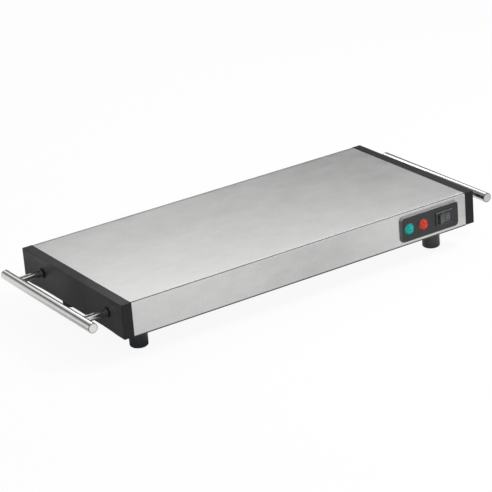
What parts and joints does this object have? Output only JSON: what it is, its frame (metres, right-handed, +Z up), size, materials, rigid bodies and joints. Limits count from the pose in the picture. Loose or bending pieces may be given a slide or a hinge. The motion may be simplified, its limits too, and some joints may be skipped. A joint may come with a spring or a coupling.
{
  "type": "electric food warmer tray",
  "caption": "Electric food warmer tray: low flat steel hot surface on rubber feet, black end caps with bar handles, pilot lamps and a rocker switch on a front control plate.",
  "frame": {"origin": "on the table under the middle of the whole part, feet standing on z = 0", "axes": "+X along the tray towards the switch end, +Y towards the back with the power inlet, +Z up"},
  "size_m": [0.485, 0.2054, 0.0615],
  "materials": {
    "steel": "fine brushed",
    "galvanised_sheet": "dull galvanised",
    "zinc_hardware": "zinc plated",
    "black_plastic": "satin",
    "switch_plastic": "semi gloss",
    "rubber": "matte",
    "green_lens": "clear moulded",
    "red_lens": "clear moulded",
    "white_plastic": "satin",
    "bulb_glass": "clear",
    "brass": "bare",
    "aluminium": "rolled",
    "mica": "pressed mica and wire",
    "insulation": "mineral wool felt",
    "ceramic": "glazed ceramic",
    "brown_lead": "sleeved",
    "black_lead": "sleeved",
    "red_lead": "sleeved",
    "blue_lead": "sleeved",
    "green_lead": "sleeved",
    "grey_lead": "sleeved"
  },
  "bodies": {
    "root": {"housing_cover": "steel", "left_handle_bar": "steel", "right_handle_bar": "steel", "left_front_handle_post": "steel", "left_back_handle_post": "steel", "right_front_handle_post": "steel", "right_back_handle_post": "steel", "bottom_plate": "galvanised_sheet", "left_stiffening_plate": "galvanised_sheet", "right_stiffening_plate": "galvanised_sheet", "clamp_plate": "galvanised_sheet", "thermostat_bracket": "galvanised_sheet", "handle_screws": "zinc_hardware", "end_cap_screws": "zinc_hardware", "bottom_plate_screws": "zinc_hardware", "foot_screws": "zinc_hardware", "foot_washers": "zinc_hardware", "foot_nuts": "zinc_hardware", "inlet_screws": "zinc_hardware", "inlet_nuts": "zinc_hardware", "clamp_studs": "zinc_hardware", "clamp_nuts": "zinc_hardware", "thermostat_screws": "zinc_hardware", "earth_stud": "zinc_hardware", "earth_nut": "zinc_hardware", "left_end_cap": "black_plastic", "right_end_cap": "black_plastic", "left_handle_collars": "black_plastic", "right_handle_collars": "black_plastic", "control_plate": "black_plastic", "inlet_body": "black_plastic", "switch_body": "switch_plastic", "front_left_foot": "rubber", "front_right_foot": "rubber", "back_left_foot": "rubber", "back_right_foot": "rubber", "green_lamp_lens": "green_lens", "red_lamp_lens": "red_lens", "green_lamp_holder": "white_plastic", "red_lamp_holder": "white_plastic", "terminal_block": "white_plastic", "green_neon_bulb": "bulb_glass", "red_neon_bulb": "bulb_glass", "switch_terminals": "brass", "inlet_pins": "brass", "heat_spreader": "aluminium", "heating_element": "mica", "insulation_mat": "insulation", "thermostat": "ceramic", "thermal_fuse": "ceramic", "live_lead": "brown_lead", "switched_lead": "black_lead", "heater_leads": "red_lead", "return_lead": "blue_lead", "neutral_lead": "blue_lead", "earth_lead": "green_lead", "lamp_leads": "grey_lead"},
    "rocker": {"switch_rocker": "switch_plastic"},
    "contact": {"switch_contact": "brass"}
  },
  "joints": [
    {"name": "power_rocker", "type": "hinge", "parent": "root", "child": "rocker", "pos_m": [0.17, -0.09791, 0.044], "axis": [0, 0, -1], "range_deg": [0, 18]},
    {"name": "switch_contact_rock", "type": "hinge", "parent": "root", "child": "contact", "pos_m": [0.17, -0.09141, 0.044], "axis": [0, 0, 1], "range_deg": [0, 9]}
  ],
  "couplings": [
    {"joint": "switch_contact_rock", "follows": "power_rocker", "ratio": 0.5}
  ]
}
